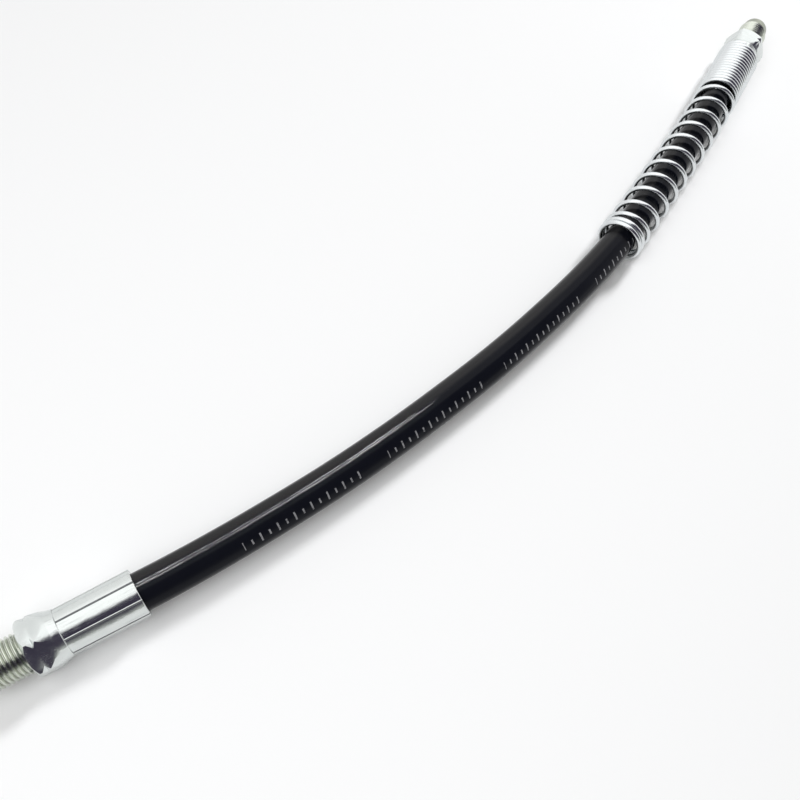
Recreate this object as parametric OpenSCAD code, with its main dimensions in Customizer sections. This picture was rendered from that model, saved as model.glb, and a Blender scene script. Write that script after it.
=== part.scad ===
// Hydraulic hose assembly. A rubber hose carries a crimped fitting with a male
// thread at each end, and an open wire coil guards the last third of the hose.
// The assembly lies on z = 0 with the hose axis level, +X from the near fitting
// to the far one. Every fitting is built along its own axis, from the end face
// of the hose outwards to the thread, and then placed on the route's ends.

/* [Hose] */
// Outer diameter of the rubber cover
hose_d = 9.5; // [8:0.1:12]
// Bore of the liner
hose_bore = 3.8; // [3:0.1:4.8]
// Wall of the liner
liner_wall = 0.8; // [0.5:0.05:1]
// Thickness of each braid
braid_t = 0.4; // [0.2:0.05:0.5]
// Gap left between neighbouring layers
layer_gap = 0.04; // [0.02:0.01:0.1]
// Sides of the swept hose
hose_sides = 12; // [8:1:12]

/* [Nipple] */
// Major diameter of the male thread
thread_d = 10; // [8:0.5:12]
// Pitch of the male thread
thread_pitch = 1; // [0.75:0.25:1.5]
// Length of the male thread
thread_len = 8.6; // [6:0.2:16]
// Width of the flat on each thread crest
crest_w = 0.25; // [0.1:0.05:0.3]
// Diameter of the plain nose ahead of the thread
nose_d = 8.6; // [5:0.1:9]
// Length of the plain nose
nose_len = 2.8; // [1:0.2:5]
// Fluid bore through the nipple
port_d = 2.2; // [1.5:0.1:2.6]
// Width across the flats of the hexagon
hex_af = 12.7; // [11.5:0.1:17]
// Length of the hexagon along the axis
hex_len = 6; // [5:0.5:10]
// Axial length of the chamfer on the thread side of the hexagon
hex_chamfer = 0.8; // [0.5:0.1:1.3]
// Axial length of the long cone on the ferrule side of the hexagon
hex_cone = 3; // [1.5:0.1:3]
// Depth of the recess in the hexagon's thread-side face
recess_depth = 0.25; // [0.1:0.05:1]
// Radial room in that recess round the thread
recess_gap = 0.3; // [0.1:0.05:0.6]
// Depth of the turned groove at the corners of the hexagon
corner_groove = 0.58; // [0.3:0.02:0.8]
// Lean of the near hexagon's top corner towards the -Y side, in degrees
near_hex_turn = 9; // [0:1:30]
// Lean of the far hexagon's top corner towards the -Y side, in degrees
far_hex_turn = 30; // [0:1:30]
// Diameter of the neck under the collar
neck_d = 6.4; // [5:0.1:7]
// Length of the barbed tail inside the hose
tail_len = 15; // [10:0.5:16]
// Height of each barb
barb_h = 0.2; // [0.1:0.05:0.3]
// Number of barbs on the tail
barbs = 5; // [3:1:7]

/* [Ferrule] */
// Wall of the crimped sleeve
ferrule_wall = 0.925; // [0.7:0.025:1.5]
// Length of the crimped sleeve
crimp_len = 17.5; // [12:0.1:18]
// Number of crimp flats
crimp_flats = 8; // [6:1:12]
// Depth of each crimp flat
crimp_depth = 0.12; // [0.05:0.01:0.2]
// Distance from the collar to where the crimp flats start
crimp_start = 0.15; // [0.1:0.05:3]
// Lean of the top crimp flat towards the -Y side, in degrees
crimp_turn = 11.25; // [0:0.25:45]
// How much wider the near ferrule's mouth is than its collar end, in radius
near_flare = 0.3; // [0:0.05:0.5]
// Length of the uncrimped collar
collar_len = 1.55; // [1:0.05:4]
// How far the collar stands proud of the crimped sleeve
collar_step = 0.3; // [0.1:0.05:0.6]

/* [Coil guard] */
// Diameter of the guard's wire
wire_d = 1.5; // [1:0.1:2]
// Pitch of the open coils
open_pitch = 7.1; // [4:0.1:10]
// Number of open coils at the full pitch
open_turns = 9; // [5:1:10]
// Spare pitch of the close coils on the ferrule, over the wire's diameter
close_gap = 0; // [0:0.05:0.5]
// Number of close coils on the ferrule
close_turns = 15; // [8:1:16]
// Steps in each turn of the coil
coil_steps = 20; // [16:4:28]

/* [Clearances] */
// Radial clearance between the cover and the ferrule's bore
cover_fit = 0.05; // [0.02:0.01:0.1]
// Radial clearance between the barbs and the liner's bore
tail_fit = 0.05; // [0.02:0.01:0.1]
// Radial clearance between the nipple's neck and the collar's bore
neck_fit = 0.03; // [0.02:0.01:0.1]
// Gap between the hose's end face and the collar
end_gap = 0.2; // [0.1:0.05:0.5]
// Gap between the coil and the ferrule it sits on
guard_fit = 0.02; // [0.01:0.01:0.1]
// Gap between the last coil and the collar
guard_seat = 0.05; // [0.02:0.01:0.3]

/* [Hidden] */
$fn = 64;
eps = 0.01;

// Route of the hose axis in plan, from its end face in the near ferrule to its
// end face in the far one. The first two and the last two points are straight.
route = [
  [-142, 9.8], [-122.7, 4.3], [-109.3, 0.8], [-96.6, -2.1],
  [-77, -6], [-57.3, -9], [-37.4, -11.2], [-17.4, -12.8],
  [2.5, -13.4], [22.5, -13.2], [42.5, -11.7], [62.2, -8.7],
  [82, -5.4], [101.7, -2], [122.6, 2.6], [141.9, 7.1]
];
last = len(route) - 1;

// Radii of the hose layers at the corners of their sides
bore_r = hose_bore / 2;
liner_r = bore_r + liner_wall;
inner_braid_r = liner_r + layer_gap + braid_t;
outer_braid_r = inner_braid_r + layer_gap + braid_t;
cover_r = hose_d / 2;

// Fitting sizes that follow the hose
sleeve_r = cover_r + cover_fit;
crimp_r = sleeve_r + ferrule_wall;
collar_r = crimp_r + collar_step;
tail_r = bore_r * cos(180 / hose_sides) - tail_fit;
neck_r = neck_d / 2;

// Stations along a fitting's axis, from the hose's end face outwards
shoulder_w = end_gap;
collar_w = shoulder_w + collar_len;
thread_w = collar_w + hex_len;
nose_w = thread_w + thread_len;
tip_w = nose_w + nose_len;
mouth_w = shoulder_w - crimp_len;

// Hexagon: the groove's long wall leans 0.6 of its width
flat_r = hex_af / 2;
hex_corner_r = flat_r / cos(30);
groove_w = 1.7;
groove_floor = 0.4;

// Thread, with a plain relief at the hexagon
thread_r = thread_d / 2;
thread_depth = 0.61 * thread_pitch;
root_r = thread_r - thread_depth;
relief_w = 0.7;
crest_count = floor((thread_len - relief_w) / thread_pitch);
recess_r = thread_r + recess_gap;
recess_w = thread_w - recess_depth;

// Small bevels and the plain root of the tail
nose_bevel = 0.4;
mouth_bevel = 0.2;
collar_bevel = 0.3;
tail_root = 2;
barb_ramp = 0.8;

// Coil guard: the gaps after its first coils, and before the close ones
wire_r = wire_d / 2;
coil_r = (crimp_r + guard_fit + wire_r) / cos(180 / coil_steps);
lead_gaps = [0.1, 0.2, 1.5, 4.9];
run_out_gap = 2.4;
lead_in = 0.5;
pitches = concat([for (gap = lead_gaps) wire_d + gap], [for (i = [1:open_turns]) open_pitch],
                 [wire_d + run_out_gap], [for (i = [1:close_turns]) wire_d + close_gap]);
guard_turns = len(pitches);

// Height of the axis: the coil guard or a hexagon's lowest corner rests on the floor
function corner_drop(turn) = hex_corner_r * cos((turn + 30) % 60 - 30);
axis_z = max(coil_r + wire_r, corner_drop(near_hex_turn), corner_drop(far_hex_turn));

// Route as a smooth curve through its points
function unit(v) = v / norm(v);
function sum_to(list, n) = n <= 0 ? 0 : list[n - 1] + sum_to(list, n - 1);
chords = [for (i = [0:last - 1]) norm(route[i + 1] - route[i])];
stations = [for (i = [0:last]) sum_to(chords, i)];
route_len = stations[last];
function slope(i) =
  i <= 1 ? unit(route[1] - route[0]) :
  i >= last - 1 ? unit(route[last] - route[last - 1]) :
  (route[i + 1] - route[i - 1]) / (stations[i + 1] - stations[i - 1]);
function span(s) = min(last - 1, max(0, len([for (v = stations) if (v <= s) v]) - 1));
function on_span(i, s) =
  let (h = chords[i], t = (s - stations[i]) / h)
    (2 * t * t * t - 3 * t * t + 1) * route[i]
    + (t * t * t - 2 * t * t + t) * h * slope(i)
    + (3 * t * t - 2 * t * t * t) * route[i + 1]
    + (t * t * t - t * t) * h * slope(i + 1);
function axis_at(s) = on_span(span(s), s);
function heading_at(s) = unit(axis_at(min(route_len, s + 0.5)) - axis_at(s - 0.5));

// A point at radius r and angle a about the axis, a = 0 up, turning with the
// right hand about the heading
function about(p, u, r, a) =
  [p[0] + u[1] * r * sin(a), p[1] - u[0] * r * sin(a), axis_z + r * cos(a)];

// Closed ring of the hose's sides at point i of the route
function hose_ring(i, r) =
  [for (k = [0:hose_sides - 1]) about(route[i], unit(slope(i)), r, k * 360 / hose_sides)];

// Two triangles for each side between two neighbouring loops of n points
function quads(a, b, n) =
  [for (k = [0:n - 1], half = [0, 1]) let (j = (k + 1) % n)
    half == 0 ? [a + k, b + k, b + j] : [a + k, b + j, a + j]];

// Tube swept along the route, with an outer and an inner wall
module hose_layer(r_in, r_out) {
  n = hose_sides;
  rings = concat([for (i = [0:last]) hose_ring(i, r_out)],
                 [for (i = [last:-1:0]) hose_ring(i, r_in)]);
  m = len(rings);
  polyhedron([for (ring = rings, p = ring) p],
             [for (k = [0:m - 1]) each quads(k * n, ((k + 1) % m) * n, n)]);
}

// Angle and station of the guard's wire
function coil_station(turn) =
  let (i = min(guard_turns - 1, floor(turn)))
    sum_to(pitches, i) + (turn - i) * pitches[i];
guard_end = route_len + shoulder_w - guard_seat - wire_r;
guard_start = guard_end - sum_to(pitches, guard_turns);
function wire_at(turn) =
  let (s = guard_start + coil_station(turn))
    about(axis_at(s), heading_at(s), coil_r, 360 * turn);

// Hexagonal section of the wire, one corner pointing away from the hose
function wire_ring(turn) =
  let (s = guard_start + coil_station(turn), c = wire_at(turn),
       out = unit(c - about(axis_at(s), heading_at(s), 0, 0)),
       run = wire_at(min(guard_turns, turn + 0.01)) - wire_at(turn - 0.01),
       along = unit(run - (run * out) * out),
       side = cross(along, out))
    [for (k = [0:5]) c + wire_r * (cos(60 * k) * out + sin(60 * k) * side)];

// Places a fitting: its local X axis runs outwards from the hose's end face
module at_near() {
  u = unit(route[0] - route[1]);
  translate([route[0][0], route[0][1], axis_z]) rotate([0, 0, atan2(u[1], u[0])]) children();
}
module at_far() {
  u = unit(route[last] - route[last - 1]);
  translate([route[last][0], route[last][1], axis_z]) rotate([0, 0, atan2(u[1], u[0])]) children();
}

// Turns a profile of [station, radius] points about the local X axis
module turned(profile) {
  rotate([0, 90, 0]) rotate_extrude() polygon([for (p = profile) [p[1], p[0]]]);
}

// Grooves between the crests of the thread
module thread_grooves() {
  first = thread_w + relief_w;
  for (i = [0:crest_count - 1]) {
    a = first + i * thread_pitch + crest_w;
    b = first + (i + 1) * thread_pitch;
    turned([[a, thread_r + eps], [a, thread_r], [(a + b) / 2, root_r],
            [b, thread_r], [b, thread_r + eps]]);
  }
}

// Thread and plain nose, outwards from the hexagon
module threaded_end() {
  difference() {
    turned([[recess_w - eps, 0], [recess_w - eps, root_r],
            [thread_w + relief_w - crest_w, root_r], [thread_w + relief_w, thread_r],
            [nose_w - nose_bevel, thread_r], [nose_w, nose_d / 2],
            [tip_w - nose_bevel, nose_d / 2], [tip_w, nose_d / 2 - nose_bevel], [tip_w, 0]]);
    thread_grooves();
  }
}

// Hexagon with its thread-side chamfer, ferrule-side cone and corner groove
module hexagon(turn) {
  groove_end = collar_w + hex_cone;
  intersection() {
    translate([collar_w, 0, 0]) rotate([0, 90, 0]) rotate([0, 0, turn])
      cylinder(r = hex_corner_r, h = hex_len, $fn = 6);
    turned([[collar_w, 0], [collar_w, flat_r], [groove_end, hex_corner_r],
            [groove_end + groove_w * groove_floor, hex_corner_r - corner_groove],
            [groove_end + groove_w, hex_corner_r + eps],
            [thread_w - hex_chamfer, hex_corner_r + eps],
            [thread_w, flat_r], [thread_w, recess_r], [recess_w, recess_r], [recess_w, 0]]);
  }
}

// Barbed tail inside the hose and the neck under the collar
module tail() {
  barb_pitch = (tail_len - tail_root) / barbs;
  root = tail_r - barb_h;
  ramps = [for (i = [0:barbs - 1]) each
           [[-tail_len + i * barb_pitch, root], [-tail_len + (i + barb_ramp) * barb_pitch, tail_r]]];
  turned(concat([[-tail_len, 0]], ramps,
                [[-tail_root, root], [shoulder_w, root], [shoulder_w, neck_r],
                 [collar_w + eps, neck_r], [collar_w + eps, 0]]));
}

// Nipple: tail, neck, hexagon, thread and nose in one piece, bored through
module nipple(turn) {
  difference() {
    union() {
      tail();
      hexagon(turn);
      threaded_end();
    }
    translate([-tail_len - 1, 0, 0]) rotate([0, 90, 0])
      cylinder(d = port_d, h = tail_len + tip_w + 2);
  }
}

// Sleeve crimped on the hose, with the collar that grips the nipple's neck. The
// sleeve's radius and its crimp flats rise by the flare towards the mouth.
module ferrule(turn, flare) {
  mouth_r = crimp_r + flare;
  flat_w = 2 * mouth_r * tan(180 / crimp_flats);
  difference() {
    turned([[mouth_w, 0], [mouth_w, mouth_r - mouth_bevel], [mouth_w + mouth_bevel, mouth_r],
            [shoulder_w, crimp_r], [shoulder_w + collar_step, collar_r],
            [collar_w - collar_bevel, collar_r], [collar_w, collar_r - collar_bevel],
            [collar_w, 0]]);
    translate([mouth_w - 1, 0, 0]) rotate([0, 90, 0])
      cylinder(r = sleeve_r, h = crimp_len + 1);
    rotate([0, 90, 0]) cylinder(r = neck_r + neck_fit, h = collar_w + 1);
    for (i = [0:crimp_flats - 1])
      rotate([turn + i * 360 / crimp_flats, 0, 0])
        translate([shoulder_w - crimp_start, -flat_w / 2, crimp_r - crimp_depth])
          rotate([0, atan(flare / crimp_len), 0]) translate([-crimp_len - 1, 0, 0])
            cube([crimp_len + 1, flat_w, 1]);
  }
}

module near_nipple() { color("silver") at_near() nipple(-near_hex_turn); }
module near_ferrule() { color("gainsboro") at_near() ferrule(-crimp_turn, near_flare); }
module far_nipple() { color("silver") at_far() nipple(far_hex_turn); }
module far_ferrule() { color("gainsboro") at_far() ferrule(crimp_turn, 0); }
module hose_liner() { color("dimgray") hose_layer(bore_r, liner_r); }
module hose_braid_inner() {
  color("darkkhaki") hose_layer(liner_r + layer_gap, inner_braid_r);
}
module hose_braid_outer() {
  color("darkkhaki") hose_layer(inner_braid_r + layer_gap, outer_braid_r);
}
module hose_cover() { color("#1c1c1e") hose_layer(outer_braid_r + layer_gap, cover_r); }

// Wire coil: open along the hose, close-wound on the far ferrule
module coil_guard() {
  first = floor(lead_in * coil_steps);
  rings = [for (i = [first:guard_turns * coil_steps]) wire_ring(i / coil_steps)];
  m = len(rings);
  color("whitesmoke")
    polyhedron([for (ring = rings, p = ring) p],
               concat([for (k = [0:m - 2]) each quads(k * 6, (k + 1) * 6, 6)],
                      [[for (k = [0:5]) k]], [[for (k = [5:-1:0]) (m - 1) * 6 + k]]));
}

near_nipple();
near_ferrule();
hose_liner();
hose_braid_inner();
hose_braid_outer();
hose_cover();
far_nipple();
far_ferrule();
coil_guard();
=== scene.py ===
import math

import bpy
from mathutils import Matrix, Vector


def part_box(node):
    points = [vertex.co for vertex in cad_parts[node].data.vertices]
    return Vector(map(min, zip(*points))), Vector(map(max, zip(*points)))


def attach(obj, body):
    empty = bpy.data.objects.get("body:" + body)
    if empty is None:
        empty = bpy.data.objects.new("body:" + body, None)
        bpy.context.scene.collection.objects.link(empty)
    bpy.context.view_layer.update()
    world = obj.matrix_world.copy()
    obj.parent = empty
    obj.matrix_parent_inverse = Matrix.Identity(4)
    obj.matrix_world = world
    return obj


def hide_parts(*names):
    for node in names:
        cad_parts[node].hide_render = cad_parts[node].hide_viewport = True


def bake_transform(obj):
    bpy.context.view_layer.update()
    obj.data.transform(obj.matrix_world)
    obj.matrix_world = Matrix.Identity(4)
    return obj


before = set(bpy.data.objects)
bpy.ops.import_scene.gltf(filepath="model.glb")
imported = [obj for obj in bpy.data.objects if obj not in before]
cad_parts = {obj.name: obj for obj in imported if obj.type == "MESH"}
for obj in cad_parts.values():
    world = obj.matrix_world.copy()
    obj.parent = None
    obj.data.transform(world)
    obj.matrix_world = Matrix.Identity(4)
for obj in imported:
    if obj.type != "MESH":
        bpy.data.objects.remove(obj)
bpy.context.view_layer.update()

MM = 0.001

# ---------------------------------------------------------------- sizes

# Route of the hose axis in plan, from one end face of the hose to the other
ROUTE = [
    (-0.1420, 0.0098), (-0.1227, 0.0043), (-0.1093, 0.0008), (-0.0966, -0.0021),
    (-0.0770, -0.0060), (-0.0573, -0.0090), (-0.0374, -0.0112), (-0.0174, -0.0128),
    (0.0025, -0.0134), (0.0225, -0.0132), (0.0425, -0.0117), (0.0622, -0.0087),
    (0.0820, -0.0054), (0.1017, -0.0020), (0.1226, 0.0026), (0.1419, 0.0071),
]
LAST = len(ROUTE) - 1

coil_low, coil_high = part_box("coil_guard")
AXIS_Z = (coil_low[2] + coil_high[2]) / 2

# Hose layers: bore, liner, two braids, cover
HOSE_R = 4.75 * MM
LAYERS = {
    "liner": (1.90 * MM, 2.70 * MM),
    "inner_braid": (2.74 * MM, 3.14 * MM),
    "outer_braid": (3.18 * MM, 3.58 * MM),
    "cover": (3.62 * MM, HOSE_R),
}

# Stations along a fitting's axis, from the hose's end face outwards
SHOULDER = 0.2 * MM
MOUTH = SHOULDER - 17.5 * MM
COLLAR = SHOULDER + 1.55 * MM
THREAD = COLLAR + 6.0 * MM
NOSE = THREAD + 8.6 * MM
TIP = NOSE + 2.8 * MM

THREAD_R = 5.0 * MM
PITCH = 1.0 * MM
ROOT_R = THREAD_R - 0.61 * MM
RECESS_R = THREAD_R + 0.3 * MM
NOSE_R = 4.3 * MM
PORT_R = 1.1 * MM
FLAT_R = 6.35 * MM
CORNER_R = FLAT_R / math.cos(math.radians(30))
NECK_R = 3.2 * MM
TAIL_R = 1.785 * MM
TAIL = 15 * MM
TAIL_BARBS = 5
SLEEVE_R = 4.8 * MM
COLLAR_R = 6.025 * MM

# Turns of the two hexagons about their fittings, in degrees
NEAR_HEX_TURN = -39
FAR_HEX_TURN = 0

# Crimp: eight dies with a narrow rib between each two, and a sleeve that may widen to its mouth
CRIMP_R = 5.725 * MM
DIE_PITCH = 45
DIE_LEAN = 11.25
FACE_DEPTH = 0.11 * MM
FACE_CROWN = 0.03 * MM
RIB_HALF = 0.095 * MM
BITE = 0.12 * MM
NEAR_FLARE = 0.3 * MM

# Coil guard
WIRE_R = 0.75 * MM
COIL_R = 6.57 * MM
PITCHES = [1.6, 1.7, 3.0, 6.4] + [7.1] * 9 + [3.9] + [1.5] * 15
LEAD_IN = 0.5
WIRE_STEPS = 36
WIRE_SIDES = 12

# Steps in a full turn of a lathe or a thread
STEPS = 96

# Row of pale ticks on the cover: places along the hose, and turns round it
TICK_GAP = 1.15 * MM
TICK_ROW = 0.139
TICK_GROUP = 41.4 * MM
TICKS_FROM = 37 * MM
TICKS_TO = 191 * MM


# ---------------------------------------------------------------- route

def unit(v):
    return v / v.length


points = [Vector((x, y)) for x, y in ROUTE]
chords = [(b - a).length for a, b in zip(points, points[1:])]
stations = [sum(chords[:i]) for i in range(LAST + 1)]
HOSE_LENGTH = stations[LAST]


def slope(i):
    if i <= 1:
        return unit(points[1] - points[0])
    if i >= LAST - 1:
        return unit(points[LAST] - points[LAST - 1])
    return (points[i + 1] - points[i - 1]) / (stations[i + 1] - stations[i - 1])


def axis_at(s):
    """Point of the hose axis at station s, and its heading, both in plan."""
    i = max(0, min(LAST - 1, sum(1 for v in stations if v <= s) - 1))
    h = chords[i]
    t = (s - stations[i]) / h
    a, b, m, n = points[i], points[i + 1], slope(i) * h, slope(i + 1) * h
    place = ((2 * t**3 - 3 * t**2 + 1) * a + (t**3 - 2 * t**2 + t) * m
             + (3 * t**2 - 2 * t**3) * b + (t**3 - t**2) * n)
    run = ((6 * t**2 - 6 * t) * a + (3 * t**2 - 4 * t + 1) * m
           + (6 * t - 6 * t**2) * b + (3 * t**2 - 2 * t) * n)
    return place, unit(run)


def about(s, r, angle):
    """Point at radius r about the axis, angle 0 up, turning right-handed."""
    place, u = axis_at(s)
    return Vector((place.x + u.y * r * math.sin(angle),
                   place.y - u.x * r * math.sin(angle),
                   AXIS_Z + r * math.cos(angle)))


def fitting_matrix(end, before):
    """Local Z runs out of the hose along the fitting, local X points up."""
    out = unit(points[end] - points[before])
    u = Vector((out.x, out.y, 0))
    up = Vector((0, 0, 1))
    side = u.cross(up)
    return Matrix((
        (up.x, side.x, u.x, points[end].x),
        (up.y, side.y, u.y, points[end].y),
        (up.z, side.z, u.z, AXIS_Z),
        (0, 0, 0, 1)))


NEAR = fitting_matrix(0, 1)
FAR = fitting_matrix(LAST, LAST - 1)

# ---------------------------------------------------------------- camera

def place_camera():
    right = Vector((0.64518, -0.74487, 0.17004))
    up = Vector((0.64125, 0.64893, 0.40951))
    back = Vector((-0.41537, -0.15517, 0.89632))
    turn = Matrix((right, up, back)).transposed()
    put_down()
    bpy.ops.object.camera_add(location=(-0.13217, -0.05893, 0.2026), rotation=turn.to_euler())
    camera = bpy.context.object
    camera.name = "camera"
    camera.data.lens = 37.235
    camera.data.shift_x = -0.0963
    camera.data.shift_y = 0.0526
    camera.data.sensor_width = 36
    camera.data.clip_start = 0.01
    bpy.context.scene.camera = camera


# ---------------------------------------------------------------- bench work

def put_down():
    """Back to object mode, with nothing selected."""
    if bpy.context.mode != "OBJECT":
        bpy.ops.object.mode_set(mode="OBJECT")
    bpy.ops.object.select_all(action="DESELECT")


def take(*pieces):
    """Selects the pieces, the first one active."""
    put_down()
    for piece in pieces:
        piece.select_set(True)
    bpy.context.view_layer.objects.active = pieces[0]


def weld(piece, gap=1e-6):
    """Merges what touches and turns every face outwards."""
    take(piece)
    bpy.ops.object.mode_set(mode="EDIT")
    bpy.ops.mesh.select_all(action="SELECT")
    bpy.ops.mesh.remove_doubles(threshold=gap)
    bpy.ops.mesh.normals_make_consistent(inside=False)
    put_down()


def outline(name, profile):
    """Chain of edges through (station, radius) points, with the axis along Z."""
    put_down()
    bpy.ops.mesh.primitive_plane_add(size=MM)
    piece = bpy.context.object
    piece.name = piece.data.name = name
    bpy.ops.object.mode_set(mode="EDIT")
    bpy.ops.mesh.select_all(action="SELECT")
    bpy.ops.mesh.merge(type="CENTER")
    bpy.ops.transform.translate(value=(profile[0][1], 0, profile[0][0]))
    for (z0, r0), (z1, r1) in zip(profile, profile[1:]):
        bpy.ops.mesh.extrude_region_move(
            TRANSFORM_OT_translate={"value": (r1 - r0, 0, z1 - z0)})
    return piece


def turned(name, profile, steps=STEPS):
    """Shape turned on a lathe about Z from its profile."""
    piece = outline(name, profile)
    bpy.ops.mesh.select_all(action="SELECT")
    bpy.ops.mesh.spin(steps=steps, angle=math.tau, center=(0, 0, 0), axis=(0, 0, 1))
    weld(piece)
    return piece


def cut(piece, tool, how):
    """Boolean of two closed shapes; the tool is used up."""
    take(piece)
    work = piece.modifiers.new(how, "BOOLEAN")
    work.operation = how
    work.solver = "EXACT"
    work.object = tool
    bpy.ops.object.modifier_apply(modifier=work.name)
    take(tool)
    bpy.ops.object.delete()
    weld(piece)


def seat(piece, matrix, sharp=30):
    """Moves a finished fitting piece to its place in the frame and shades it."""
    piece.data.transform(matrix)
    take(piece)
    bpy.ops.object.shade_smooth_by_angle(angle=math.radians(sharp))
    put_down()
    return piece


# ---------------------------------------------------------------- fittings

def thread(name, low, high):
    """Right-hand thread between two stations, run out into its root at both ends."""
    flank = 0.375 * PITCH
    crest = THREAD_R - 0.03 * MM
    piece = outline(name, [
        (0, ROOT_R), (0.08 * PITCH, ROOT_R), (0.08 * PITCH + flank, crest),
        (0.17 * PITCH + flank, crest + 0.03 * MM), (0.26 * PITCH + flank, crest),
        (0.26 * PITCH + 1.76 * flank, ROOT_R), (PITCH, ROOT_R)])
    put_down()
    take(piece)
    turns = math.ceil((high - low) / PITCH) + 2
    screw = piece.modifiers.new("screw", "SCREW")
    screw.screw_offset = PITCH
    screw.iterations = turns
    screw.steps = screw.render_steps = STEPS
    screw.use_merge_vertices = True
    screw.merge_threshold = 1e-6
    bpy.ops.object.modifier_apply(modifier=screw.name)
    ends = [(low, ROOT_R), (low + 0.55 * MM, THREAD_R), (high - 0.55 * MM, THREAD_R),
            (high, ROOT_R)]
    for v in piece.data.vertices:
        z = min(max(v.co.z + low - 1.5 * PITCH, low), high)
        r = math.hypot(v.co.x, v.co.y)
        for (z0, r0), (z1, r1) in zip(ends, ends[1:]):
            if z0 <= z <= z1:
                limit = r0 + (r1 - r0) * (z - z0) / (z1 - z0)
        v.co = Vector((v.co.x, v.co.y, 0)) * (min(r, limit) / r) + Vector((0, 0, z))
    weld(piece)
    return piece


def hexagon(name, turn):
    """Hexagon with a chamfer, a groove round its corners and a long cone."""
    put_down()
    bpy.ops.mesh.primitive_cylinder_add(
        vertices=6, radius=CORNER_R, depth=THREAD - COLLAR + 4 * MM,
        location=(0, 0, (COLLAR + THREAD) / 2), rotation=(0, 0, math.radians(turn)))
    piece = bpy.context.object
    piece.name = piece.data.name = name
    bpy.ops.object.transform_apply(location=True, rotation=True, scale=True)
    bevel = piece.modifiers.new("bevel", "BEVEL")
    bevel.width = 0.1 * MM
    bevel.segments = 2
    bpy.ops.object.modifier_apply(modifier=bevel.name)
    blank = turned("blank", [
        (COLLAR, 0), (COLLAR, COLLAR_R + 0.14 * MM),
        (THREAD - 3.05 * MM, CORNER_R - 0.02 * MM), (THREAD - 2.95 * MM, CORNER_R - 0.07 * MM),
        (THREAD - 2.34 * MM, CORNER_R - 0.56 * MM), (THREAD - 2.22 * MM, CORNER_R - 0.56 * MM),
        (THREAD - 1.35 * MM, CORNER_R - 0.05 * MM), (THREAD - 1.25 * MM, CORNER_R),
        (THREAD - 0.84 * MM, CORNER_R), (THREAD - 0.74 * MM, CORNER_R - 0.07 * MM),
        (THREAD - 0.07 * MM, FLAT_R + 0.13 * MM), (THREAD, FLAT_R - 0.02 * MM),
        (THREAD, RECESS_R), (THREAD - 0.25 * MM, RECESS_R), (THREAD - 0.25 * MM, 0)])
    cut(piece, blank, "INTERSECT")
    return piece


def nipple(name, matrix, turn):
    """Nipple bored through: nose, thread, hexagon, neck and barbed tail."""
    low, high = THREAD + 0.3 * MM, NOSE
    root = TAIL_R - 0.2 * MM
    step = (TAIL - 2 * MM) / TAIL_BARBS
    barbs = []
    for i in range(TAIL_BARBS):
        barbs += [(-TAIL + i * step, root), (-TAIL + (i + 0.8) * step, TAIL_R)]
    body = turned(name, [
        (high, ROOT_R), (high, NOSE_R), (TIP - 0.42 * MM, NOSE_R),
        (TIP - 0.2 * MM, NOSE_R - 0.08 * MM), (TIP - 0.06 * MM, NOSE_R - 0.24 * MM),
        (TIP, NOSE_R - 0.5 * MM), (TIP, PORT_R + 0.3 * MM), (TIP - 0.3 * MM, PORT_R),
        (-TAIL, PORT_R)] + barbs + [
        (-2 * MM, root), (SHOULDER, root), (SHOULDER, NECK_R), (COLLAR + 1 * MM, NECK_R),
        (COLLAR + 1.5 * MM, ROOT_R), (low, ROOT_R)])
    crests = thread("crests", low, high)
    take(body, crests)
    bpy.ops.object.join()
    weld(body, 3e-6)
    cut(body, hexagon("hexagon", turn), "UNION")
    return seat(body, matrix, 28)


def ferrule(name, matrix, lean, flare):
    """Sleeve with its collar, squeezed between eight dies whose top one leans.

    The dies leave a narrow rib between two neighbouring faces, and the sleeve
    is wider at its mouth than at its collar by the flare.
    """
    start = SHOULDER - 0.15 * MM
    first = start - 0.3 * MM
    last = MOUTH + 0.35 * MM
    rows = [start, start - BITE] + [first - (first - last) * i / 10 for i in range(11)]
    half_pitch = DIE_PITCH / 2
    body = turned(name, [
        (MOUTH + 0.12 * MM, SLEEVE_R), (MOUTH, SLEEVE_R + 0.12 * MM),
        (MOUTH, CRIMP_R - 0.26 * MM), (MOUTH + 0.08 * MM, CRIMP_R - 0.08 * MM),
        (MOUTH + 0.2 * MM, CRIMP_R - 0.01 * MM)] + [(z, CRIMP_R) for z in reversed(rows)] + [
        (COLLAR, COLLAR_R + 0.1 * MM),
        (COLLAR, NECK_R + 0.03 * MM), (SHOULDER, NECK_R + 0.03 * MM),
        (SHOULDER, SLEEVE_R), (MOUTH + 0.12 * MM, SLEEVE_R)], 4 * STEPS)
    for v in body.data.vertices:
        r = math.hypot(v.co.x, v.co.y)
        if v.co.z < start + 1e-6 and r > SLEEVE_R + 0.3 * MM:
            angle = math.degrees(math.atan2(v.co.y, v.co.x)) - lean
            away = abs((angle + half_pitch) % DIE_PITCH / half_pitch - 1)
            bite = min(1, max(0, (start - v.co.z) / BITE))
            rib = max(0, 1 - (1 - away) * CRIMP_R * math.radians(half_pitch) / RIB_HALF)
            squeeze = bite * (FACE_DEPTH - FACE_CROWN * away * away) * (1 - rib)
            r_new = r - squeeze + flare * (start - v.co.z) / (start - MOUTH)
            v.co *= Vector((r_new / r, r_new / r, 1))
    return seat(body, matrix, 12)


# ---------------------------------------------------------------- hose and guard

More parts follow.
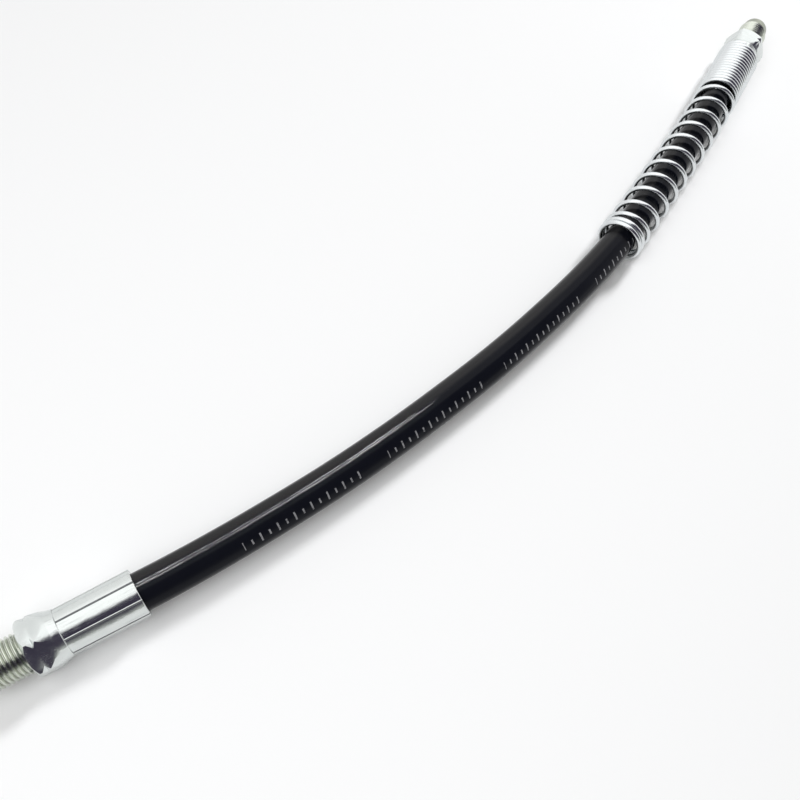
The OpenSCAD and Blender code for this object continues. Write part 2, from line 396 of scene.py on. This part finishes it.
def swept(name, rings, capped):
    """Tube through rings of points, with a face over each end if it is capped."""
    n = len(rings[0])
    faces = [(i * n + k, i * n + (k + 1) % n, (i + 1) * n + (k + 1) % n, (i + 1) * n + k)
             for i in range(len(rings) - 1) for k in range(n)]
    piece_mesh = bpy.data.meshes.new(name)
    if capped:
        faces += [tuple(reversed(range(n))), tuple(range((len(rings) - 1) * n, len(rings) * n))]
    piece_mesh.from_pydata([p for ring in rings for p in ring], [], faces)
    piece = bpy.data.objects.new(name, piece_mesh)
    bpy.context.collection.objects.link(piece)
    return piece


def wrap_map(piece, ways):
    """Gives each corner its turn round the piece and its metres along it."""
    layer = piece.data.uv_layers.new(name="wrap")
    for face in piece.data.polygons:
        turns = [ways[v][0] for v in face.vertices]
        for loop, v in zip(face.loop_indices, face.vertices):
            turn = ways[v][0]
            if max(turns) - turn > 0.5:
                turn += 1
            layer.data[loop].uv = (turn, ways[v][1])


def hose_layer(name, inner, outer, sides):
    """One layer of the hose, with its bore and its two end faces."""
    count = 144
    places = [HOSE_LENGTH * i / count for i in range(count + 1)]
    rings = [[about(s, outer, math.tau * k / sides) for k in range(sides)] for s in places]
    rings += [[about(s, inner, math.tau * k / sides) for k in range(sides)]
              for s in reversed(places)]
    rings.append(rings[0])
    piece = swept(name, rings, capped=False)
    ways = [(k / sides, s) for s in places + places[::-1] + places[:1] for k in range(sides)]
    wrap_map(piece, ways)
    weld(piece)
    take(piece)
    bpy.ops.object.shade_smooth_by_angle(angle=math.radians(40))
    put_down()
    return piece


def coil_guard(name):
    """Guard wire: open turns along the hose, close ones on the far ferrule."""
    start = HOSE_LENGTH + SHOULDER - 0.05 * MM - WIRE_R - sum(PITCHES) * MM
    last_turn = len(PITCHES)
    knots = [sum(PITCHES[:i]) * MM for i in range(last_turn)]

    def station(turn):
        """Place along the hose at a turn, easing where the pitch changes."""
        total = 0
        for j in range(11):
            spot = turn - 0.25 + 0.05 * j
            i = min(last_turn - 1, max(0, math.floor(spot)))
            total += knots[i] + (spot - i) * PITCHES[i] * MM
        return start + total / 11

    def centre(turn):
        return about(station(turn), COIL_R, math.tau * turn)

    count = round((last_turn - LEAD_IN) * WIRE_STEPS)
    turns = [LEAD_IN + (last_turn - LEAD_IN) * i / count for i in range(count + 1)]
    bevel = 0.003
    turns = [turns[0], turns[0] + bevel] + turns[1:-1] + [turns[-1] - bevel, turns[-1]]
    rings, ways, run = [], [], 0
    for i, turn in enumerate(turns):
        middle = centre(turn)
        run += (middle - centre(turns[max(0, i - 1)])).length
        along = unit(centre(turn + 0.005) - centre(turn - 0.005))
        place, _ = axis_at(station(turn))
        out = middle - Vector((place.x, place.y, AXIS_Z))
        out = unit(out - out.dot(along) * along)
        side = along.cross(out)
        r = WIRE_R * (0.84 if i in (0, len(turns) - 1) else 1)
        rounds = [k / WIRE_SIDES for k in range(WIRE_SIDES)]
        rings.append([middle + r * (math.cos(math.tau * k) * out + math.sin(math.tau * k) * side)
                      for k in rounds])
        ways += [(k, run) for k in rounds]
    piece = swept(name, rings, capped=True)
    wrap_map(piece, ways)
    weld(piece)
    return seat(piece, Matrix(), 40)


# ---------------------------------------------------------------- finishes

def add(tree, kind, inputs=None, **settings):
    """New node. An input that is another node's output is wired, any other is typed in."""
    node = tree.nodes.new(kind)
    for key, value in settings.items():
        setattr(node, key, value)
    for key, value in (inputs or {}).items():
        if isinstance(value, bpy.types.NodeSocket):
            tree.links.new(value, node.inputs[key])
        else:
            node.inputs[key].default_value = value
    return node


def calc(tree, operation, *values):
    return add(tree, "ShaderNodeMath", dict(enumerate(values)), operation=operation).outputs[0]


def times(tree, *factors):
    """Product of two or more values."""
    product = factors[0]
    for factor in factors[1:]:
        product = calc(tree, "MULTIPLY", product, factor)
    return product


def mixed(tree, share, a, b):
    """Sum of share of a and the rest of b, for values."""
    return calc(tree, "ADD", times(tree, a, share), times(tree, b, 1 - share))


def ease(tree, value, low, high, a=0.0, b=1.0):
    """Smooth change from a to b while the value goes from low to high."""
    return add(tree, "ShaderNodeMapRange", {
        "Value": value, "From Min": low, "From Max": high, "To Min": a, "To Max": b},
        interpolation_type="SMOOTHSTEP").outputs["Result"]


def stretch(tree, where, scale):
    return add(tree, "ShaderNodeMapping", {"Vector": where, "Scale": scale}).outputs[0]


def grain(tree, where, scale, detail=2.0, rough=0.5):
    return add(tree, "ShaderNodeTexNoise", {
        "Vector": where, "Scale": scale, "Detail": detail, "Roughness": rough}).outputs["Fac"]


def tint(tree, share, a, b):
    """Colour between a and b by share."""
    return add(tree, "ShaderNodeMix", {0: share, 6: a, 7: b}, data_type="RGBA").outputs[2]


def relief(tree, height, depth, under=None):
    inputs = {"Height": height, "Distance": depth, "Strength": 1.0}
    if under is not None:
        inputs["Normal"] = under
    return add(tree, "ShaderNodeBump", inputs).outputs[0]


def new_finish(name):
    material = bpy.data.materials.new(name)
    material.use_nodes = True
    return material, material.node_tree, material.node_tree.nodes["Principled BSDF"]


def on_fitting(tree, matrix):
    """Coordinates of a fitting: X up, Z out of the hose, from the hose's end face."""
    back = matrix.inverted()
    where = add(tree, "ShaderNodeTexCoord").outputs["Object"]
    where = add(tree, "ShaderNodeMapping", {
        "Vector": where, "Location": back.translation, "Rotation": back.to_euler()}).outputs[0]
    x, y, z = add(tree, "ShaderNodeSeparateXYZ", {0: where}).outputs
    across = calc(tree, "SQRT", calc(tree, "ADD", times(tree, x, x), times(tree, y, y)))
    return where, x, y, z, across


def paint(piece, material):
    piece.data.materials.clear()
    piece.data.materials.append(material)


def zinc_nipple(name, matrix):
    """Zinc-plated steel, turned ends, drawn flats, oil in the thread, painted shade in its
    roots.
    """
    material, tree, shader = new_finish(name)
    where, _, _, z, across = on_fitting(tree, matrix)
    cloud = grain(tree, where, 420, 3)
    fine = grain(tree, where, 2600, 2)
    in_thread = ease(tree, z, THREAD - 0.1 * MM, THREAD + 0.3 * MM)
    on_nose = ease(tree, z, NOSE - 0.15 * MM, NOSE + 0.05 * MM)
    # mask of the thread roots, which get painted shade
    root_shade_mask = ease(tree, across, ROOT_R + 0.05 * MM, ROOT_R + 0.42 * MM, 1, 0)
    metal = tint(tree, cloud, (0.60, 0.635, 0.625, 1), (0.71, 0.735, 0.725, 1))
    oily = tint(tree, cloud, (0.56, 0.59, 0.52, 1), (0.71, 0.74, 0.67, 1))
    metal = tint(tree, in_thread, metal, oily)
    # painted shade: the thread roots turn near black, less so on the nose
    dark = times(tree, root_shade_mask, in_thread,
                 calc(tree, "SUBTRACT", 0.3, times(tree, on_nose, 0.2)))
    metal = tint(tree, dark, metal, (0.075, 0.08, 0.05, 1))
    metal = tint(tree, times(tree, on_nose, 0.55), metal, (0.20, 0.21, 0.16, 1))
    lathe = grain(tree, stretch(tree, where, (0.02, 0.02, 1)), 5200, 2, 0.6)
    drawn = grain(tree, stretch(tree, where, (1, 1, 0.03)), 3600, 2, 0.6)
    flats = times(tree, ease(tree, z, COLLAR + 0.4 * MM, COLLAR + 1.2 * MM),
                  ease(tree, z, THREAD - 1.0 * MM, THREAD - 0.7 * MM, 1, 0))
    marks = add(tree, "ShaderNodeMix", {0: flats, 2: lathe, 3: drawn}).outputs[0]
    tree.links.new(metal, shader.inputs["Base Color"])
    shader.inputs["Metallic"].default_value = 1.0
    rough = ease(tree, mixed(tree, 0.6, cloud, fine), 0.3, 0.7, 0.14, 0.30)
    tree.links.new(calc(tree, "MAXIMUM", rough, times(tree, on_nose, 0.42)),
                   shader.inputs["Roughness"])
    tree.links.new(relief(tree, marks, 0.000006, relief(tree, fine, 0.000008)),
                   shader.inputs["Normal"])
    return material


def zinc_ferrule(name, matrix, lean):
    """Zinc-plated steel, drawn lengthwise, with painted shade beside the feet of the dies' ribs
    and along the edge of the bite.
    """
    material, tree, shader = new_finish(name)
    where, x, y, z, _ = on_fitting(tree, matrix)
    cloud = grain(tree, where, 300, 3)
    streak = grain(tree, stretch(tree, where, (1, 1, 0.06)), 1500, 3, 0.6)
    scratch = grain(tree, stretch(tree, where, (1, 1, 0.02)), 6000, 1)
    half_pitch = DIE_PITCH / 2
    turn = calc(tree, "DIVIDE", calc(tree, "ADD", calc(tree, "ARCTAN2", y, x),
                                     math.radians(half_pitch - lean)), math.radians(DIE_PITCH))
    beside = calc(tree, "SUBTRACT", calc(tree, "FRACT", calc(tree, "ADD", turn, 0.5)), 0.5)
    squeezed = ease(tree, z, SHOULDER - 0.45 * MM, SHOULDER - 0.15 * MM, 1, 0)
    # painted shade in a narrow band beside the foot of each rib, in the squeezed part
    rib_foot_shade = times(tree, ease(tree, beside, -0.10, -0.075),
                 ease(tree, beside, -0.035, -0.015, 1, 0))
    # painted shade in a band along the edge of the bite, strongest near the ribs
    bite_edge_shade = times(tree, ease(tree, z, SHOULDER - 0.42 * MM, SHOULDER - 0.34 * MM),
                  ease(tree, z, SHOULDER - 0.24 * MM, SHOULDER - 0.16 * MM, 1, 0),
                  ease(tree, calc(tree, "ABSOLUTE", beside), 0.12, 0.4, 0.6, 0.1))
    painted_crease_shade = calc(tree, "MAXIMUM", times(tree, squeezed, rib_foot_shade), bite_edge_shade)
    metal = tint(tree, cloud, (0.62, 0.655, 0.64, 1), (0.72, 0.745, 0.735, 1))
    metal = tint(tree, ease(tree, streak, 0.56, 0.75, 0, 0.35), metal, (0.42, 0.44, 0.45, 1))
    # painted shade: these creases turn near black, less metallic and rougher
    metal = tint(tree, times(tree, painted_crease_shade, 0.9), metal, (0.05, 0.055, 0.06, 1))
    tree.links.new(metal, shader.inputs["Base Color"])
    tree.links.new(calc(tree, "SUBTRACT", 1.0, times(tree, painted_crease_shade, 0.9)),
                   shader.inputs["Metallic"])
    tree.links.new(calc(tree, "MAXIMUM", ease(tree, streak, 0.3, 0.7, 0.13, 0.27),
                        times(tree, painted_crease_shade, 0.8)), shader.inputs["Roughness"])
    dents = relief(tree, cloud, 0.00009)
    dents = relief(tree, streak, 0.00001, dents)
    tree.links.new(relief(tree, scratch, 0.000003, dents), shader.inputs["Normal"])
    return material


def zinc_wire(name):
    """Zinc-plated spring wire, streaked along its own run."""
    material, tree, shader = new_finish(name)
    wrap = add(tree, "ShaderNodeUVMap", uv_map="wrap").outputs[0]
    where = add(tree, "ShaderNodeTexCoord").outputs["Object"]
    streak = grain(tree, stretch(tree, wrap, (9, 260, 1)), 1, 3, 0.6)
    cloud = grain(tree, where, 260, 3)
    metal = tint(tree, cloud, (0.66, 0.69, 0.70, 1), (0.76, 0.78, 0.79, 1))
    metal = tint(tree, ease(tree, streak, 0.58, 0.78, 0, 0.4), metal, (0.40, 0.42, 0.43, 1))
    tree.links.new(metal, shader.inputs["Base Color"])
    shader.inputs["Metallic"].default_value = 1.0
    tree.links.new(ease(tree, streak, 0.3, 0.7, 0.14, 0.28), shader.inputs["Roughness"])
    tree.links.new(relief(tree, streak, 0.00001), shader.inputs["Normal"])
    return material


def black_rubber(name, ticks):
    """Satin black hose rubber, its upper side painted lighter as if lit; the cover carries a
    worn row of plain pale ticks.
    """
    material, tree, shader = new_finish(name)
    wrap = add(tree, "ShaderNodeUVMap", uv_map="wrap").outputs[0]
    where = add(tree, "ShaderNodeTexCoord").outputs["Object"]
    turn, along, _ = add(tree, "ShaderNodeSeparateXYZ", {0: wrap}).outputs
    cloud = grain(tree, where, 90, 3)
    fine = grain(tree, where, 2400, 2, 0.6)
    drawn = grain(tree, stretch(tree, wrap, (70, 14, 1)), 1, 2)
    rubber = tint(tree, cloud, (0.0040, 0.0045, 0.0075, 1), (0.0080, 0.0088, 0.0130, 1))
    # painted light: the upper side of the cover is lighter grey than the navy-black rest
    upper = calc(tree, "PINGPONG", calc(tree, "ADD", turn, 0.16), 0.5)
    painted_lit_side = ease(tree, calc(tree, "ADD", upper, times(tree, cloud, 0.02)), 0.11, 0.16, 1, 0)
    rubber = tint(tree, painted_lit_side, rubber, (0.027, 0.0265, 0.028, 1))
    rough = ease(tree, mixed(tree, 0.5, cloud, fine), 0.3, 0.7, 0.06, 0.11)
    if ticks:
        beside = calc(tree, "PINGPONG", along, TICK_GAP)
        tall = ease(tree, calc(tree, "PINGPONG", along, 2 * TICK_GAP), 1.2 * MM, 1.3 * MM,
                    0.040, 0.024)
        off = calc(tree, "ABSOLUTE", calc(tree, "SUBTRACT", turn, TICK_ROW))
        group = calc(tree, "FRACT", calc(tree, "DIVIDE", along, TICK_GROUP))
        worn = ease(tree, grain(tree, where, 1700, 2), 0.34, 0.5, 0.25, 0.62)
        mark = times(tree, ease(tree, beside, 0.17 * MM, 0.25 * MM, 1, 0),
                     ease(tree, calc(tree, "SUBTRACT", off, tall), -0.003, 0.001, 1, 0),
                     ease(tree, group, 0.80, 0.802, 1, 0),
                     ease(tree, along, TICKS_FROM, TICKS_FROM + 0.2 * MM),
                     ease(tree, along, TICKS_TO, TICKS_TO + 0.2 * MM, 1, 0), worn)
        rubber = tint(tree, mark, rubber, (0.42, 0.42, 0.44, 1))
    tree.links.new(rubber, shader.inputs["Base Color"])
    tree.links.new(rough, shader.inputs["Roughness"])
    shader.inputs["Specular IOR Level"].default_value = 0.08
    skin = relief(tree, cloud, 0.00008)
    skin = relief(tree, drawn, 0.000006, skin)
    tree.links.new(relief(tree, fine, 0.000003, skin), shader.inputs["Normal"])
    return material


def braid_yarn(name, hand):
    """Pale textile yarn braided round the hose; hand is the way its top strands run."""
    material, tree, shader = new_finish(name)
    wrap = add(tree, "ShaderNodeUVMap", uv_map="wrap").outputs[0]
    turn, along, _ = add(tree, "ShaderNodeSeparateXYZ", {0: wrap}).outputs
    run = times(tree, along, 900 * hand)
    strands = times(tree, turn, math.tau * 12)
    one = calc(tree, "SINE", calc(tree, "ADD", strands, run))
    two = calc(tree, "SINE", calc(tree, "SUBTRACT", strands, run))
    over = calc(tree, "MAXIMUM", one, two)
    fuzz = grain(tree, stretch(tree, wrap, (160, 2200, 1)), 1, 2)
    yarn = tint(tree, ease(tree, over, -0.4, 0.9), (0.22, 0.18, 0.11, 1), (0.66, 0.60, 0.46, 1))
    yarn = tint(tree, ease(tree, fuzz, 0.4, 0.8, 0, 0.4), yarn, (0.40, 0.35, 0.25, 1))
    tree.links.new(yarn, shader.inputs["Base Color"])
    shader.inputs["Roughness"].default_value = 0.75
    tree.links.new(relief(tree, over, 0.00012, relief(tree, fuzz, 0.00003)),
                   shader.inputs["Normal"])
    return material


# ---------------------------------------------------------------- studio

def lamp(name, place, target, width, height, power, colour=(1, 1, 1)):
    """Area lamp aimed at the target."""
    put_down()
    bpy.ops.object.light_add(type="AREA", location=place)
    light = bpy.context.object
    light.name = name
    light.data.shape = "RECTANGLE"
    light.data.size = width
    light.data.size_y = height
    light.data.energy = power
    light.data.color = colour
    light.rotation_euler = (Vector(target) - Vector(place)).to_track_quat("-Z", "Y").to_euler()
    return light


def room():
    """World: soft even light, white behind everything, and a studio to mirror.

    The studio's tone depends on the tilt of the mirrored direction, from
    straight up (0) over the front, where it is dark, down to the pale table.
    """
    world = bpy.data.worlds.new("room")
    bpy.context.scene.world = world
    world.use_nodes = True
    tree = world.node_tree
    tree.nodes.clear()
    path = add(tree, "ShaderNodeLightPath").outputs
    seen = calc(tree, "MAXIMUM", path["Is Camera Ray"],
                calc(tree, "MAXIMUM", path["Is Glossy Ray"], path["Is Transmission Ray"]))
    soft = add(tree, "ShaderNodeBackground", {"Color": (1, 1, 0.97, 1), "Strength": 0.26})
    way = add(tree, "ShaderNodeTexCoord").outputs["Generated"]
    x, y, z = add(tree, "ShaderNodeSeparateXYZ", {0: way}).outputs
    tilt = calc(tree, "ARCTAN2", times(tree, y, -1.0), z)

    def over(low, high, a=0.0, b=1.0):
        return ease(tree, tilt, math.radians(low), math.radians(high), a, b)

    dark = tint(tree, over(56, 100), (0.055, 0.048, 0.075, 1), (0.58, 0.60, 0.56, 1))
    dark = tint(tree, over(86, 88.5), dark, (1.4, 1.4, 1.4, 1))
    front = times(tree, over(6, 18), ease(tree, x, 0.5, 0.78, 1, 0.25))
    behind = over(-72, -35, 1.05, 1.45)
    behind = add(tree, "ShaderNodeCombineXYZ", {0: behind, 1: behind, 2: behind}).outputs[0]
    mirrored = tint(tree, front, behind, dark)
    shown = tint(tree, path["Is Glossy Ray"], (1, 1, 1, 1), mirrored)
    shown = add(tree, "ShaderNodeBackground", {"Color": shown, "Strength": 1.0})
    both = add(tree, "ShaderNodeMixShader", {0: seen, 1: soft.outputs[0], 2: shown.outputs[0]})
    add(tree, "ShaderNodeOutputWorld", {0: both.outputs[0]})


def table_top():
    """Plain white table that the part lies on."""
    put_down()
    bpy.ops.mesh.primitive_plane_add(size=4)
    floor = bpy.context.object
    floor.name = "table_top"
    material, _, shader = new_finish("white_board")
    shader.inputs["Base Color"].default_value = (0.955, 0.955, 0.955, 1)
    shader.inputs["Roughness"].default_value = 0.9
    shader.inputs["Specular IOR Level"].default_value = 0
    paint(floor, material)


def studio_lamps(cover):
    """Key from the far end, soft fill over the near one, strips that only the cover mirrors."""
    for name, place, size, power in (("key", (0.90, 0.09, 0.70), 0.20, 8.6),
                                     ("fill", (-0.30, -0.02, 0.50), 0.45, 1.7)):
        soft = lamp(name, place, (-0.1, 0, 0), size, size, power, (0.98, 0.985, 1))
        soft.visible_glossy = False
    lit_by_strips = bpy.data.collections.new("lit_by_strips")
    lit_by_strips.objects.link(cover)
    for tilt in (58, 72):
        a = math.radians(tilt)
        strip = lamp("strip_%d" % tilt, (-0.02, 0.4 * math.cos(a), 0.4 * math.sin(a)),
                     (-0.02, 0, 0.01), 0.30, 0.004, 2.0)
        strip.visible_diffuse = False
        strip.visible_shadow = False
        strip.light_linking.receiver_collection = lit_by_strips


# ---------------------------------------------------------------- the assembly

place_camera()

cover = hose_layer("cover", *LAYERS["cover"], 48)
paint(cover, black_rubber("cover_rubber", True))
liner = hose_layer("liner", *LAYERS["liner"], 32)
paint(liner, black_rubber("liner_rubber", False))
inner_braid = hose_layer("inner_braid", *LAYERS["inner_braid"], 32)
paint(inner_braid, braid_yarn("inner_yarn", 1))
outer_braid = hose_layer("outer_braid", *LAYERS["outer_braid"], 32)
paint(outer_braid, braid_yarn("outer_yarn", -1))

near_fitting = nipple("near_fitting", NEAR, NEAR_HEX_TURN)
paint(near_fitting, zinc_nipple("near_zinc", NEAR))
far_fitting = nipple("far_fitting", FAR, FAR_HEX_TURN)
paint(far_fitting, zinc_nipple("far_zinc", FAR))
near_sleeve = ferrule("near_sleeve", NEAR, -DIE_LEAN, NEAR_FLARE)
paint(near_sleeve, zinc_ferrule("near_sleeve_zinc", NEAR, -DIE_LEAN))
far_sleeve = ferrule("far_sleeve", FAR, DIE_LEAN, 0)
paint(far_sleeve, zinc_ferrule("far_sleeve_zinc", FAR, DIE_LEAN))
guard_wire = coil_guard("guard_wire")
paint(guard_wire, zinc_wire("wire_zinc"))

for piece, node, slot in (
        (liner, "hose_liner", "liner_rubber"), (inner_braid, "hose_braid_inner", "braid_yarn"),
        (outer_braid, "hose_braid_outer", "braid_yarn"), (cover, "hose_cover", "cover_rubber")):
    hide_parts(node)
    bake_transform(piece)

for piece, node, slot, body in (
        (near_fitting, "near_nipple", "nipple_steel", "near_end"),
        (near_sleeve, "near_ferrule", "ferrule_steel", "near_end"),
        (far_fitting, "far_nipple", "nipple_steel", "far_end"),
        (far_sleeve, "far_ferrule", "ferrule_steel", "far_end"),
        (guard_wire, "coil_guard", "guard_wire", "far_end")):
    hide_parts(node)
    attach(piece, body)

bpy.context.scene.view_settings.view_transform = "Standard"
room()
table_top()
studio_lamps(cover)
